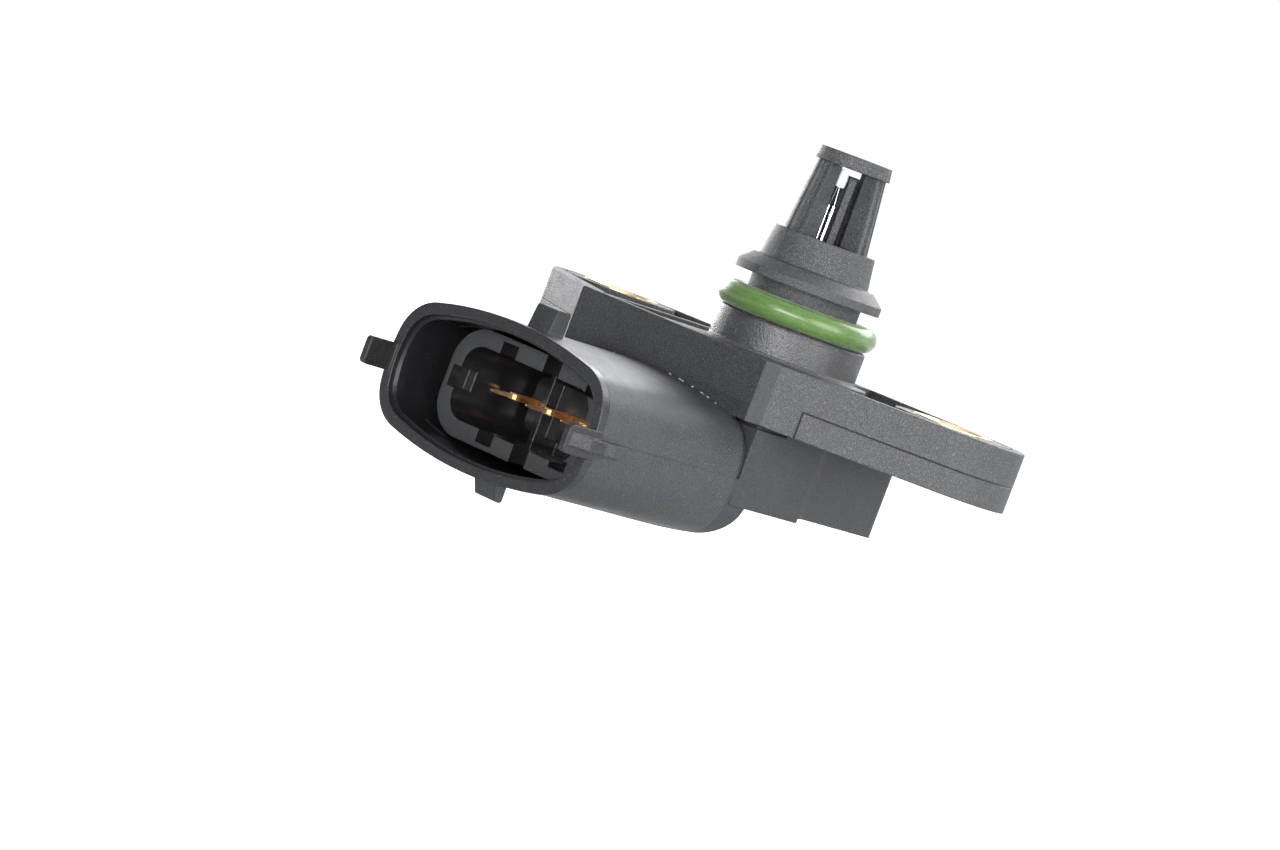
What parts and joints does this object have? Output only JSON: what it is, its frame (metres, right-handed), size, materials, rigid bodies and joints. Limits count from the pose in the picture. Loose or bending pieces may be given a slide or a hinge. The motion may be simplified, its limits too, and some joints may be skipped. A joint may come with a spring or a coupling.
{
  "type": "manifold absolute pressure sensor",
  "caption": "Intake manifold pressure and temperature sensor: ribbed flange with bushed ears, O-ring port with a slotted thermistor cage, and an oval connector shroud.",
  "frame": {"origin": "on the axis of the port, in the flange face that seals against the manifold", "axes": "+Z along the port, out of the flange towards the manifold; the connector opens towards -Y; the bolt holes lie along X"},
  "size_m": [0.063, 0.0528, 0.0444],
  "materials": {
    "housing_plastic": "fine grain, glass-filled",
    "green_rubber": "smooth, slightly glossy",
    "bush_brass": "turned, bright",
    "cover_plastic": "fine grain",
    "sealant": "cured silicone",
    "terminal_metal": "copper alloy, polished",
    "bead_coating": "gloss",
    "tinned_wire": "tinned",
    "board_ceramic": "fired",
    "clear_glass": "polished",
    "silicon": "polished",
    "gel": "soft silicone",
    "chip_plastic": "matte",
    "capacitor_body": "fired",
    "bond_aluminium": "bright"
  },
  "bodies": {
    "root": {"housing": "housing_plastic", "o_ring": "green_rubber", "bush_left": "bush_brass", "bush_right": "bush_brass", "cover": "cover_plastic", "cover_sealant": "sealant", "terminal_1": "terminal_metal", "terminal_2": "terminal_metal", "terminal_3": "terminal_metal", "terminal_4": "terminal_metal", "thermistor_bead": "bead_coating", "thermistor_post_1": "tinned_wire", "thermistor_post_2": "tinned_wire", "thermistor_wire_1": "tinned_wire", "thermistor_wire_2": "tinned_wire", "ceramic_board": "board_ceramic", "port_glue_ring": "sealant", "glass_pedestal": "clear_glass", "pressure_die": "silicon", "protective_gel": "gel", "signal_chip": "chip_plastic", "capacitor_1": "capacitor_body", "capacitor_2": "capacitor_body", "capacitor_3": "capacitor_body", "bond_wire_1": "bond_aluminium", "bond_wire_2": "bond_aluminium", "bond_wire_3": "bond_aluminium", "bond_wire_4": "bond_aluminium"}
  },
  "joints": []
}
